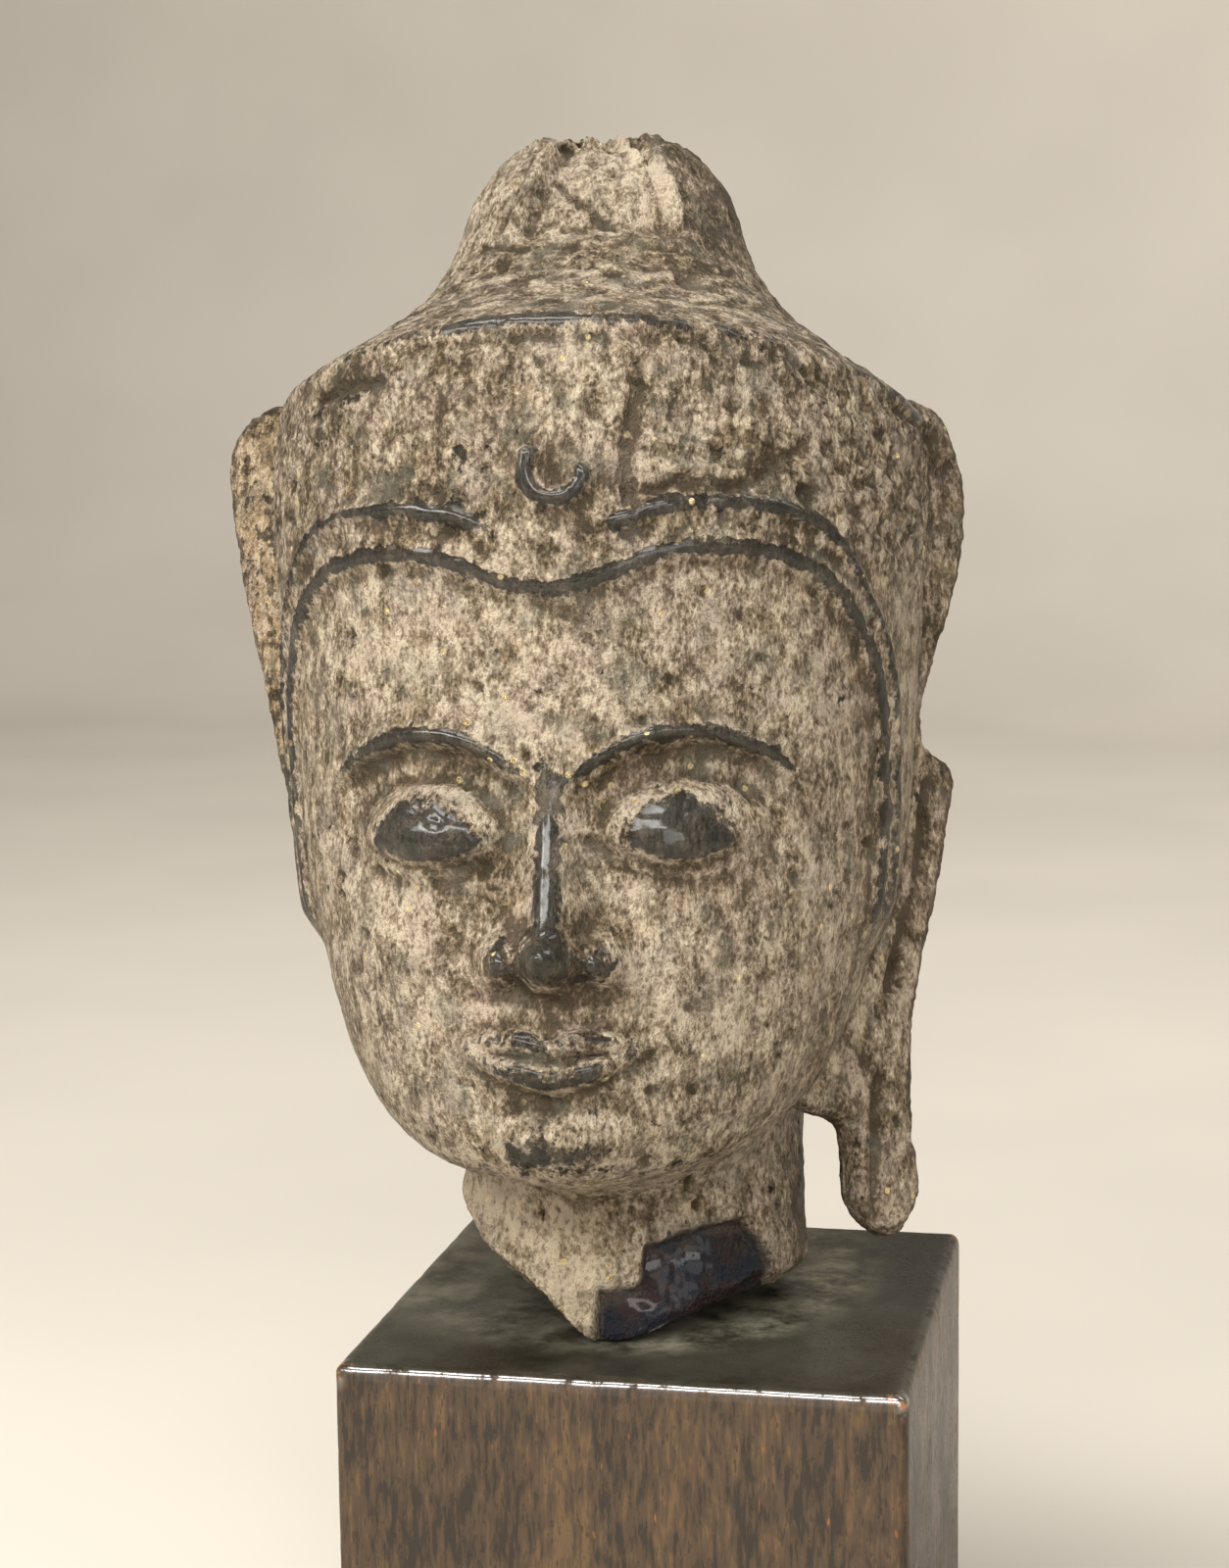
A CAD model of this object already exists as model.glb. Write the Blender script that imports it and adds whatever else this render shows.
"""The looks of a cast bronze head of the Buddha that stands on a dark wooden block.

The face looks along -Y, and its own left is +X. The head's own shape is worked out in hundredths
of its height, with Z along its axis, and is then stood on the block in metres.
"""

import math

import bmesh
import bpy
import numpy as np
from mathutils import Matrix, Vector, noise


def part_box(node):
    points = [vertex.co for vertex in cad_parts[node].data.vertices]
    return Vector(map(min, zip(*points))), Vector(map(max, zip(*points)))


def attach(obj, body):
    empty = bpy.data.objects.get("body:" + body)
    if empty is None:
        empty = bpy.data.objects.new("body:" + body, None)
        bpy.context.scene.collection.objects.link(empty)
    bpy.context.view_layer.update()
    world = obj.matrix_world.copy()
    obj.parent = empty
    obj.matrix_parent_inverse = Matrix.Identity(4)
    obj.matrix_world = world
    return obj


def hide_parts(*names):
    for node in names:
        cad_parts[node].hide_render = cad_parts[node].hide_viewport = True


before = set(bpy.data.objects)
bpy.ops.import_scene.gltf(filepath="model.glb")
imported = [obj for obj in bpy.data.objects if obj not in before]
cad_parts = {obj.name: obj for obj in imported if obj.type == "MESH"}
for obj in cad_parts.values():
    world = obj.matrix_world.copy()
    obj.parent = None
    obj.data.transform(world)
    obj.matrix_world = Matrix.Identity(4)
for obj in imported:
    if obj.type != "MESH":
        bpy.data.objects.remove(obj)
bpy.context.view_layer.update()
block_low, block_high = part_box("plinth_block")
BLOCK_HEIGHT = block_high[2] - block_low[2]
BLOCK_SIDE = block_high[0] - block_low[0]

bl_info = {
    "name": "Bronze Buddha Head",
    "version": (1, 0, 0),
    "blender": (4, 5, 0),
    "location": "View3D > Sidebar > Bronze Head",
    "description": "Makes an excavated bronze Buddha head on a dark wooden block",
    "category": "Object",
}

MM = 0.001
TURN = 2 * math.pi
HEAD_GAP = 0.3 * MM


# Settings


class HeadSettings(bpy.types.PropertyGroup):
    """Size, stance and relief of the bronze head."""

    height: bpy.props.FloatProperty(
        name="Height",
        description="Length of the head along its own axis",
        default=108 * MM,
        unit="LENGTH",
    )
    aside: bpy.props.FloatProperty(
        name="Aside",
        description="Where the axis meets the block, to the head's left of its centre",
        default=-5.2 * MM,
        unit="LENGTH",
    )
    behind: bpy.props.FloatProperty(
        name="Behind",
        description="Where the axis meets the block, behind its centre",
        default=-2.0 * MM,
        unit="LENGTH",
    )
    tilt: bpy.props.FloatProperty(
        name="Tilt Back",
        description="How far the head tilts back",
        default=math.radians(9.5),
        unit="ROTATION",
    )
    lean: bpy.props.FloatProperty(
        name="Lean",
        description="How far the head leans to its left",
        default=math.radians(-1.2),
        unit="ROTATION",
    )
    turn: bpy.props.FloatProperty(
        name="Turn",
        description="How far the head turns to its left",
        default=math.radians(3),
        unit="ROTATION",
    )
    fineness: bpy.props.FloatProperty(
        name="Fineness",
        description="Length of the mesh's faces at the front",
        default=0.44 * MM,
        unit="LENGTH",
    )
    crust_depth: bpy.props.FloatProperty(
        name="Crust Depth",
        description="How far the lumps of the earthy crust stand up",
        default=0.32 * MM,
        unit="LENGTH",
    )
    pit_depth: bpy.props.FloatProperty(
        name="Pit Depth", description="How deep the corrosion pits are", default=0.42 * MM, unit="LENGTH"
    )


class BronzeSettings(bpy.types.PropertyGroup):
    """Colours of the old bronze."""

    crust_pale: bpy.props.FloatVectorProperty(
        name="Pale Crust", description="Driest earth", default=(0.56, 0.475, 0.345), subtype="COLOR"
    )
    crust_light: bpy.props.FloatVectorProperty(
        name="Light Crust",
        description="The crust's usual colour",
        default=(0.36, 0.287, 0.203),
        subtype="COLOR",
    )
    crust_mid: bpy.props.FloatVectorProperty(
        name="Crust",
        description="Crust between light and brown",
        default=(0.235, 0.182, 0.122),
        subtype="COLOR",
    )
    crust_brown: bpy.props.FloatVectorProperty(
        name="Brown Crust",
        description="Thin crust stained by the bronze",
        default=(0.145, 0.106, 0.06),
        subtype="COLOR",
    )
    crust_dark: bpy.props.FloatVectorProperty(
        name="Dark Crust",
        description="Dirt in pits and cracks",
        default=(0.05, 0.036, 0.018),
        subtype="COLOR",
    )
    ochre: bpy.props.FloatVectorProperty(
        name="Ochre", description="Orange earth", default=(0.46, 0.31, 0.15), subtype="COLOR"
    )
    bare: bpy.props.FloatVectorProperty(
        name="Bare Bronze",
        description="Rubbed dark bronze",
        default=(0.006, 0.0052, 0.003),
        subtype="COLOR",
    )
    green: bpy.props.FloatVectorProperty(
        name="Green Patina",
        description="Grey green where the crust is thin",
        default=(0.013, 0.0135, 0.0065),
        subtype="COLOR",
    )
    glint: bpy.props.FloatVectorProperty(
        name="Glint", description="Sparks of bright metal", default=(0.85, 0.68, 0.36), subtype="COLOR"
    )
    fracture: bpy.props.FloatVectorProperty(
        name="Fracture",
        description="Dark broken metal at the neck",
        default=(0.022, 0.012, 0.011),
        subtype="COLOR",
    )
    grey_crust: bpy.props.FloatVectorProperty(
        name="Grey Crust", description="Crust tinted grey", default=(0.17, 0.165, 0.125), subtype="COLOR"
    )
    blush_dark: bpy.props.FloatVectorProperty(
        name="Dark Blush",
        description="Reddish tint of brown crust",
        default=(0.15, 0.1, 0.075),
        subtype="COLOR",
    )
    blush_light: bpy.props.FloatVectorProperty(
        name="Light Blush",
        description="Reddish tint of pale crust",
        default=(0.42, 0.33, 0.265),
        subtype="COLOR",
    )
    fracture_blue: bpy.props.FloatVectorProperty(
        name="Blue Fracture",
        description="Bluish parts of the broken metal",
        default=(0.006, 0.009, 0.016),
        subtype="COLOR",
    )


class BlockSettings(bpy.types.PropertyGroup):
    """Size and colours of the wooden block."""

    edge: bpy.props.FloatProperty(
        name="Edge", description="Radius of the block's worn edges", default=0.95 * MM, unit="LENGTH"
    )
    stain_dark: bpy.props.FloatVectorProperty(
        name="Dark Stain",
        description="Stain in the pores and the dark grain",
        default=(0.044, 0.036, 0.029),
        subtype="COLOR",
    )
    stain_mid: bpy.props.FloatVectorProperty(
        name="Stain", description="The sides' usual colour", default=(0.08, 0.056, 0.038), subtype="COLOR"
    )
    stain_light: bpy.props.FloatVectorProperty(
        name="Light Stain",
        description="Lightest streaks of the grain",
        default=(0.125, 0.081, 0.046),
        subtype="COLOR",
    )
    top: bpy.props.FloatVectorProperty(
        name="Top",
        description="Darker stain on the end grain of the top",
        default=(0.016, 0.013, 0.008),
        subtype="COLOR",
    )
    bare_wood: bpy.props.FloatVectorProperty(
        name="Bare Wood",
        description="Wood where a corner is worn through",
        default=(0.36, 0.13, 0.04),
        subtype="COLOR",
    )
    top_worn: bpy.props.FloatVectorProperty(
        name="Worn Top",
        description="Thinner stain on the top",
        default=(0.028, 0.025, 0.017),
        subtype="COLOR",
    )
    haze: bpy.props.FloatVectorProperty(
        name="Haze",
        description="Grey residue round the foot of the neck",
        default=(0.25, 0.235, 0.17),
        subtype="COLOR",
    )
    film: bpy.props.FloatVectorProperty(
        name="Film", description="Thin dust on the top", default=(0.17, 0.16, 0.13), subtype="COLOR"
    )
    specks: bpy.props.FloatVectorProperty(
        name="Specks", description="Pale specks on the top", default=(0.3, 0.28, 0.23), subtype="COLOR"
    )


class StageSettings(bpy.types.PropertyGroup):
    """Floor, light and camera."""

    floor: bpy.props.FloatVectorProperty(
        name="Floor",
        description="Colour of the floor and the wall",
        default=(0.6, 0.555, 0.485),
        subtype="COLOR",
    )
    key_power: bpy.props.FloatProperty(
        name="Key Light", description="Power of the wide key light", default=7.5, unit="POWER"
    )
    lens: bpy.props.FloatProperty(
        name="Lens", description="Focal length on a 36 mm sensor", default=66.67, unit="CAMERA"
    )


def settings(name):
    """The settings group of that name on the scene."""
    return getattr(bpy.context.scene, name)


# The head's shape, in hundredths of its height

NECK_ASIDE = 2.2
KNOT_ASIDE = 0.2
SQUARENESS = 2.2

# Profiles from the top down, as [radius, height] at the front, the side and the back
PROFILE = np.array(
    [
        [[0, 98.6], [0, 98.6], [0, 98.6]],
        [[7.0, 99.4], [7.0, 99.4], [7.0, 99.4]],
        [[10.8, 95.6], [10.8, 95.6], [10.8, 95.6]],
        [[12.6, 90.6], [12.6, 90.6], [12.6, 90.6]],
        [[14.8, 87.2], [14.4, 86.8], [14.8, 86.6]],
        [[21.2, 82.9], [20.6, 80.2], [21.2, 80.6]],
        [[27.8, 79.6], [26.4, 75.4], [28.0, 76.0]],
        [[28.4, 78.6], [27.0, 74.4], [28.6, 75.0]],
        [[29.2, 69.6], [27.4, 68.4], [29.4, 68.4]],
        [[28.7, 56.6], [26.7, 57.0], [29.4, 57.0]],
        [[28.0, 44.5], [26.0, 46.5], [28.8, 46.5]],
        [[27.0, 30.5], [24.8, 35.5], [27.4, 35.5]],
        [[26.4, 19.0], [22.2, 26.0], [25.0, 26.2]],
        [[25.6, 15.0], [20.6, 22.4], [23.6, 22.8]],
        [[23.4, 12.2], [18.9, 19.8], [22.4, 20.2]],
        [[18.0, 11.2], [16.6, 17.6], [21.2, 18.2]],
        [[13.4, 9.8], [15.0, 14.4], [20.4, 15.4]],
        [[12.6, 4.6], [14.4, 8.6], [19.8, 9.6]],
        [[13.0, 0], [14.2, 0], [19.4, 0]],
        [[9.6, 0.8], [11.2, 0.8], [16.4, 0.8]],
        [[5.6, 11], [7.4, 11], [11.0, 11]],
        [[0, 13], [0, 13], [0, 13]],
    ]
)
CAP_LEVEL = 6
JAW_LEVEL = 14
RIM_LEVEL = 18

CHIN_Z = 11.6
HAIRLINE_Z = 59.2
THIRD = (HAIRLINE_Z - CHIN_Z) / 3
BROW_Z = CHIN_Z + 2 * THIRD
NOSE_Z = CHIN_Z + THIRD
MOUTH_Z = CHIN_Z + THIRD * 2 / 3
EYE_Z = CHIN_Z + 1.75 * THIRD
FACE_HALF = 25.6
EYE_WIDE = 2 * FACE_HALF / 5
EYE_RISE = 0.42 * EYE_WIDE
MOUTH_HALF = 0.74 * EYE_WIDE

HAIRLINE = [
    (-14, 60.4), (0, 58.3), (9.5, 59.4), (17, 60.9), (26, 61.5), (38, 61.0),
    (48, 58.9), (62, 51.5), (68.5, 39), (69, 30),
]
DEGREE_LONG = 0.49
BAND_WIDE = 3.5
BAND_NARROW = 2.1

LEFT_EAR = [
    (21, 76.0), (28.6, 77.0), (31.2, 72.0), (31.0, 62.5), (28.2, 51.8), (27.9, 47.4),
    (30.2, 45.4), (29.6, 39.0), (26.9, 24.0), (26.7, 15.0), (27.2, 9.0), (25.2, 5.4),
    (22.6, 7.8), (21.6, 15.0), (18.0, 17.2), (17.6, 40.0),
]
RIGHT_EAR = [
    (21, 77.0), (30.4, 78.4), (34.6, 75.6), (34.0, 65.0), (31.8, 55.5), (27.8, 41.2),
    (24.6, 39.6), (19.0, 45.0),
]
EAR_ROOT = (24, -2.4)
LEFT_SWEEP = math.radians(44)
RIGHT_SWEEP = math.radians(24)
EAR_THICK = 3.8
EAR_ROUNDING = 1.3

# The scoop that was lost with the finial: turns of its sides in degrees, and heights
SCOOP_LEFT = -22
SCOOP_RIGHT = 38
SCOOP_FOOT = 88.6
SCOOP_TOP = 98
SCOOP_DEPTH = 1.296

# The dark broken patch of the neck: turns in degrees, and the height of its top at each
FLAKE_TURNS = [-6, 10, 13, 34, 50, 56, 64]
FLAKE_TOPS = [2.4, 3.0, 6.2, 7.8, 8.2, 6.2, 3.4]


def clamp01(t):
    return np.clip(t, 0, 1)


def ease(t):
    """From 0 to 1 without corners."""
    return clamp01(t) ** 2 * (3 - 2 * clamp01(t))


def ridge(offset, width):
    """1 on a line, falling to 0 beside it."""
    return np.exp(-((offset / width) ** 2))


def mound(x, z, middle_x, middle_z, wide, high):
    """1 in the middle of an oval place, falling to 0 round it."""
    return ridge(x - middle_x, wide) * ridge(z - middle_z, high)


def mix(a, b, t):
    """From a to b as t goes from 0 to 1."""
    return a + (b - a) * t


def spline(points, at):
    """A smooth curve through rows of numbers, at places counted in rows."""
    points = np.asarray(points, float)
    first = 2 * points[0] - points[1]
    last = 2 * points[-1] - points[-2]
    rows = np.vstack([first[None], points, last[None]])
    at = np.clip(np.asarray(at, float), 0, len(points) - 1 - 1e-9)
    i = at.astype(int)
    t = (at - i)[:, None]
    p0, p1, p2, p3 = rows[i], rows[i + 1], rows[i + 2], rows[i + 3]

    def gap(a, b):
        length = np.sqrt(np.linalg.norm(b - a, axis=1, keepdims=True))
        return np.maximum(length, 1e-4)

    d0, d1, d2 = gap(p0, p1), gap(p1, p2), gap(p2, p3)
    slope1 = ((p1 - p0) / d0 - (p2 - p0) / (d0 + d1) + (p2 - p1) / d1) * d1
    slope2 = ((p2 - p1) / d1 - (p3 - p1) / (d1 + d2) + (p3 - p2) / d2) * d1
    a = 2 * p1 - 2 * p2 + slope1 + slope2
    b = -3 * p1 + 3 * p2 - 2 * slope1 - slope2
    return ((a * t + b) * t + slope1) * t + p1


def dense(points, steps=8):
    """The points of a smooth curve through a few."""
    count = len(points) - 1
    return spline(points, np.linspace(0, count, count * steps + 1))


def brow_line(x):
    """Height of the brow's edge at a place across."""
    out = (np.minimum(x, 2.1 * EYE_WIDE) - 1.05 * EYE_WIDE) / EYE_WIDE
    return BROW_Z + 0.24 * THIRD - 0.3 * THIRD * out * out


def lid_line(x):
    """Height of the lowered lid's edge at a place across."""
    u = (x - EYE_WIDE) / (0.6 * EYE_WIDE)
    return EYE_Z - 0.2 * EYE_WIDE * np.maximum(0, 1 - u * u) + 0.04 * EYE_WIDE * u


def mouth_line(x):
    """Height of the line between the lips at a place across."""
    return MOUTH_Z + 0.9 * clamp01(x / MOUTH_HALF) ** 2 - 0.25 * ridge(x, 1.5)


def nose(x, z):
    """How far the nose stands forward."""
    down = clamp01((BROW_Z - z) / THIRD)
    above = 1 - ease((z - BROW_Z) / (0.3 * THIRD))
    bridge = mix(0.8, 5.3, down**1.15) * ridge(x, mix(1.5, 2.7, down)) * above
    tip = 6.0 * mound(x, z, 0, NOSE_Z + 2.3, 2.7, 2.7)
    wing = 3.3 * mound(x, z, 0.36 * EYE_WIDE, NOSE_Z + 1.9, 1.9, 2.3)
    under = ease((z - NOSE_Z + 1.2) / 2.6)
    front = np.maximum(bridge, tip)
    nostril = -0.9 * mound(x, z, 0.22 * EYE_WIDE, NOSE_Z + 0.2, 0.9, 0.8)
    return np.maximum(np.maximum(front, wing), 0.55 * (front + wing)) * under + nostril


def lid(x, z):
    """How far out of the middle of the eye a point lies, 1 being its edge."""
    high = np.where(z > EYE_Z, EYE_RISE, 0.82 * EYE_RISE)
    return np.hypot((x - EYE_WIDE) / (0.62 * EYE_WIDE), (z - EYE_Z) / high)


def eye(x, z):
    """The socket below the brow and the lowered lid in it."""
    drop = brow_line(x) - z
    across = np.exp(-(((x - EYE_WIDE) / (0.78 * EYE_WIDE)) ** 4))
    socket = -1.5 * ease(drop / 1.3) * ridge(drop, 7.5) * across
    brow = 0.8 * ridge(drop + 0.2, 0.75) * across
    out = lid(x, z)
    ball = 2.7 * clamp01(1 - out * out) ** 0.7
    lower = 0.75 * ease((lid_line(x) - z) / 0.55) * clamp01(4 * (1 - out))
    crease = 0.35 * ridge(lid_line(x) - z - 0.35, 0.35) * clamp01(5 * (1 - out))
    return socket + brow + np.maximum(0, ball - lower - crease)


def lips(x, z):
    """Both lips, with the line between them turned up a little at the corners."""
    full = 1 - clamp01(x / MOUTH_HALF) ** 2
    over = z - mouth_line(x)
    upper = 2.3 * full**0.7 * (1 - 0.2 * ridge(x, 1.2))
    high = np.where(over > 0, upper, 2.8 * full**0.8)
    across = 2 * np.abs(over) / np.maximum(high, 1e-6) - 1
    lip = clamp01(1 - across**2) ** 0.6
    return np.where(over > 0, 1.3, 1.6) * lip * full**0.4


def face(x, z):
    """How far the face stands forward of the profiles."""
    muzzle = 1.4 * mound(x, z, 0, MOUTH_Z + 0.5, 8, 6)
    chin = 2.0 * mound(x, z, 0, CHIN_Z + 3.6, 4.8, 3.4)
    below_lip = -0.8 * mound(x, z, 0, MOUTH_Z - 3.9, 5, 1.3)
    cheek = 0.8 * mound(x, z, 0.53 * FACE_HALF, NOSE_Z + 2.5, 6.5, 6)
    philtrum = -0.35 * mound(x, z, 0, (NOSE_Z + MOUTH_Z) / 2 + 0.8, 0.9, 1.6)
    return nose(x, z) + eye(x, z) + lips(x, z) + muzzle + chin + below_lip + cheek + philtrum


def beyond_hairline(turn, z):
    """How far a point lies from the hairline: more than 0 in the hair, less on the face."""
    line = dense(HAIRLINE)
    nearest = np.full(turn.shape, 1e9)
    side = np.ones(turn.shape)
    for a, b in zip(line[:-1], line[1:]):
        ax, az = (turn - a[0]) * DEGREE_LONG, z - a[1]
        bx, bz = (b[0] - a[0]) * DEGREE_LONG, b[1] - a[1]
        t = clamp01((ax * bx + az * bz) / (bx * bx + bz * bz))
        gap = np.hypot(ax - t * bx, az - t * bz)
        closer = gap < nearest
        nearest = np.where(closer, gap, nearest)
        side = np.where(closer, np.where(bx * az - bz * ax >= 0, 1, -1), side)
    return side * nearest


def hair_ridges(turn, z):
    """The ridge on the hairline and the one above it, each from 0 to 1."""
    gap = beyond_hairline(turn, z)
    in_hair = ease((z - 29) / 5)
    low = ridge(gap, 0.72) * in_hair
    band = mix(BAND_WIDE, BAND_NARROW, ease((turn - 42) / 16))
    high = ridge(gap - band, 0.68) * in_hair * ease((turn - 4) / 8)
    return gap, low, high


def hair(turn, z):
    """How far the hair stands out: a step at the hairline and two ridges."""
    gap, low, high = hair_ridges(turn, z)
    in_hair = ease((z - 29) / 5) * ease((84 - z) / 4)
    return (0.7 * ease(gap / 1.2) + 0.85 * low + 0.6 * high) * in_hair


def knot_break(turn, z):
    """The scoop that was lost with the finial, and how far a point is inside it."""
    left = ease((turn - SCOOP_LEFT + 0.8 * (SCOOP_TOP - z)) / 5)
    right = ease((SCOOP_RIGHT + 0.4 * (SCOOP_TOP - z) - turn) / 4)
    down = ease((z - SCOOP_FOOT) / 1.8)
    inside = left * right * down
    return inside, -(SCOOP_DEPTH + 0.16 * (z - SCOOP_FOOT)) * inside


def rim_height(turn):
    """Height of the neck's broken rim at a turn."""
    point = 5.3 * ridge(turn + 2, np.where(turn < -2, 22, 38))
    return 3.2 - point + 6.2 * ridge(turn + 80, 32)


def neck_flake(turn, z):
    """How far inside the dark broken patch of the neck a point is."""
    top = np.interp(turn, FLAKE_TURNS, FLAKE_TOPS)
    across = ease((turn - FLAKE_TURNS[0] + 1) / 2.5) * ease((FLAKE_TURNS[-1] - turn) / 4)
    return across * ease((top - z) / 0.7)


def head_point(turn, level):
    """Places on the head's skin for turns in degrees, across, and levels, down."""
    fore = np.where(
        (np.cos(np.radians(turn)) >= 0)[None, :, None],
        spline(PROFILE[:, 0], level)[:, None, :],
        spline(PROFILE[:, 2], level)[:, None, :],
    )
    side = spline(PROFILE[:, 1], level)[:, None, :]
    angle = np.radians(turn)[None, :]
    c, s = np.abs(np.cos(angle)), np.abs(np.sin(angle))
    z = mix(side[..., 1], fore[..., 1], c * c)
    across = (c / np.maximum(fore[..., 0], 1e-6)) ** SQUARENESS
    along = (s / np.maximum(side[..., 0], 1e-6)) ** SQUARENESS
    radius = (across + along) ** (-1 / SQUARENESS)
    level = level[:, None]
    near_rim = clamp01(1 - np.abs(level - RIM_LEVEL) / 3) ** 2
    z = z + rim_height(turn)[None, :] * near_rim
    wide_turn = np.broadcast_to(turn[None, :], z.shape)
    upper = level < JAW_LEVEL
    neck = (level >= JAW_LEVEL) & (level <= RIM_LEVEL)
    radius = radius + np.where(upper, hair(np.abs(wide_turn), z) + knot_break(wide_turn, z)[1], 0)
    radius = radius - np.where(neck, 1.0 * neck_flake(wide_turn, z), 0)
    aside = NECK_ASIDE * ease((level - JAW_LEVEL) / 3) + KNOT_ASIDE * ease((z - 84) / 14)
    x = np.sin(angle) * radius
    on_face = ease((np.cos(angle) - 0.1) / 0.35) * ease((z - 8) / 3) * ease((60 - z) / 4)
    relief = face(np.abs(x), z) * on_face * (level < JAW_LEVEL + 2)
    return np.stack([x + aside, -np.cos(angle) * radius - relief, z], axis=-1)


def even_levels(fine):
    """Levels down the profile whose rows are as far apart as the mesh is fine."""
    found = []
    for i, (here, there) in enumerate(zip(PROFILE[:-1, 0], PROFILE[1:, 0])):
        length = np.hypot(*(there - here))
        rows = max(2, round(length / (fine if i < RIM_LEVEL else 3 * fine)))
        found.extend(i + np.arange(rows) / rows)
    return np.array([*found[1:], len(PROFILE) - 1 - 0.02])


def head_skin(fine):
    """The head without its ears, as a closed mesh whose columns are gathered at the front."""
    widest, spacing, gathered = 28, 1.72, 0.42
    around = 2 * round(math.pi * widest / (fine * spacing))
    share = np.arange(around) / around * TURN
    turn = np.degrees(share + gathered * np.sin(share) - math.pi)
    levels = even_levels(fine)
    skin = head_point(turn, levels)
    rows = len(levels)
    top = np.array([[KNOT_ASIDE, 0, PROFILE[0, 0, 1]]])
    bottom = np.array([[NECK_ASIDE, 0, PROFILE[-1, 0, 1]]])
    points = np.concatenate([skin.reshape(-1, 3), top, bottom])
    i = np.arange(around)
    following = (i + 1) % around
    faces = []
    for row in range(rows - 1):
        a = row * around
        quads = np.stack([a + i, a + around + i, a + around + following, a + following], axis=1)
        faces.extend(quads.tolist())
    last = (rows - 1) * around
    pairs = list(zip(i.tolist(), following.tolist()))
    faces.extend([rows * around, a, b] for a, b in pairs)
    faces.extend([rows * around + 1, last + b, last + a] for a, b in pairs)
    mesh = bpy.data.meshes.new("head_skin")
    mesh.from_pydata(points.tolist(), [], faces)
    return mesh


def ear_mesh(outline, sweep, side):
    """An ear as a plate with rounded edges, swept back from the cheek."""
    closed = dense([*outline, outline[0]], 5)[:-1]
    root_x, root_y = EAR_ROOT
    work = bmesh.new()
    front = [work.verts.new(((x - root_x) / math.cos(sweep), 0, z)) for x, z in closed]
    plate = work.faces.new(front)
    made = bmesh.ops.extrude_face_region(work, geom=[plate])
    back = [v for v in made["geom"] if isinstance(v, bmesh.types.BMVert)]
    bmesh.ops.translate(work, verts=back, vec=(0, EAR_THICK, 0))
    bmesh.ops.recalc_face_normals(work, faces=work.faces)
    rims = [e for e in work.edges if abs(e.verts[0].co.y - e.verts[1].co.y) < 1e-6]
    bmesh.ops.bevel(work, geom=rims, offset=EAR_ROUNDING, segments=4, profile=0.5, affect="EDGES")
    bmesh.ops.triangulate(work, faces=work.faces)
    place = Matrix.Translation((root_x, root_y, 0)) @ Matrix.Rotation(sweep, 4, "Z")
    bmesh.ops.transform(work, matrix=place, verts=work.verts)
    if side < 0:
        bmesh.ops.scale(work, vec=(-1, 1, 1), verts=work.verts)
        bmesh.ops.reverse_faces(work, faces=work.faces)
    mesh = bpy.data.meshes.new("ear")
    work.to_mesh(mesh)
    work.free()
    return mesh


def modified(obj):
    """A mesh of the object with its modifiers applied."""
    bpy.context.view_layer.update()
    seen = obj.evaluated_get(bpy.context.evaluated_depsgraph_get())
    return bpy.data.meshes.new_from_object(seen)


def temporary(mesh):
    """An object for a mesh while it is being worked on."""
    obj = bpy.data.objects.new("work", mesh)
    bpy.context.scene.collection.objects.link(obj)
    return obj


def remeshed(mesh, size):
    """The mesh in even small faces."""
    obj = temporary(mesh)
    remesh = obj.modifiers.new("even", "REMESH")
    remesh.mode = "VOXEL"
    remesh.voxel_size = size
    smooth = obj.modifiers.new("smooth", "SMOOTH")
    smooth.factor = 0.5
    smooth.iterations = 2
    made = modified(obj)
    bpy.data.objects.remove(obj)
    return made


def united(base, *others):
    """One closed mesh out of several that overlap."""
    obj = temporary(base)
    tools = []
    for other in others:
        tool = temporary(other)
        join = obj.modifiers.new("join", "BOOLEAN")
        join.operation = "UNION"
        join.solver = "MANIFOLD"
        join.object = tool
        tools.append(tool)
    made = modified(obj)
    for used in [obj, *tools]:
        bpy.data.objects.remove(used)
    return made


# Relief of the old surface


def mesh_vectors(mesh, kind):
    """The place (co) or the normal of every point of a mesh."""
    vectors = np.empty(len(mesh.vertices) * 3)
    mesh.vertices.foreach_get(kind, vectors)
    return vectors.reshape(-1, 3)


def rough(points, size, octaves, shift):
    """Soft noise from about -1 to 1 with lumps of that size."""
    at = points / size + shift
    return np.array([noise.fractal(p, 0.9, 2.1, octaves) for p in at.tolist()])


def cells(points, size, shift):
    """Distance to the nearest of many scattered points, and to the next, in sizes."""
    at = points / size + shift
    found = [noise.voronoi(p, distance_metric="DISTANCE")[0][:2] for p in at.tolist()]
    return np.array(found).T


def along(across, z, line):
    """Distance to a line drawn on the head, its points being places across and heights."""
    nearest = np.full(across.shape, 1e9)
    for a, b in zip(line[:-1], line[1:]):
        ax, az = across - a[0], z - a[1]
        bx, bz = b[0] - a[0], b[1] - a[1]
        t = clamp01((ax * bx + az * bz) / (bx * bx + bz * bz))
        nearest = np.minimum(nearest, np.hypot(ax - t * bx, az - t * bz))
    return nearest


def round_head(turn, z, line):
    """Distance to a line whose points are turns in degrees and heights."""
    return along(turn * DEGREE_LONG, z, [(a * DEGREE_LONG, b) for a, b in line])


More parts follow.
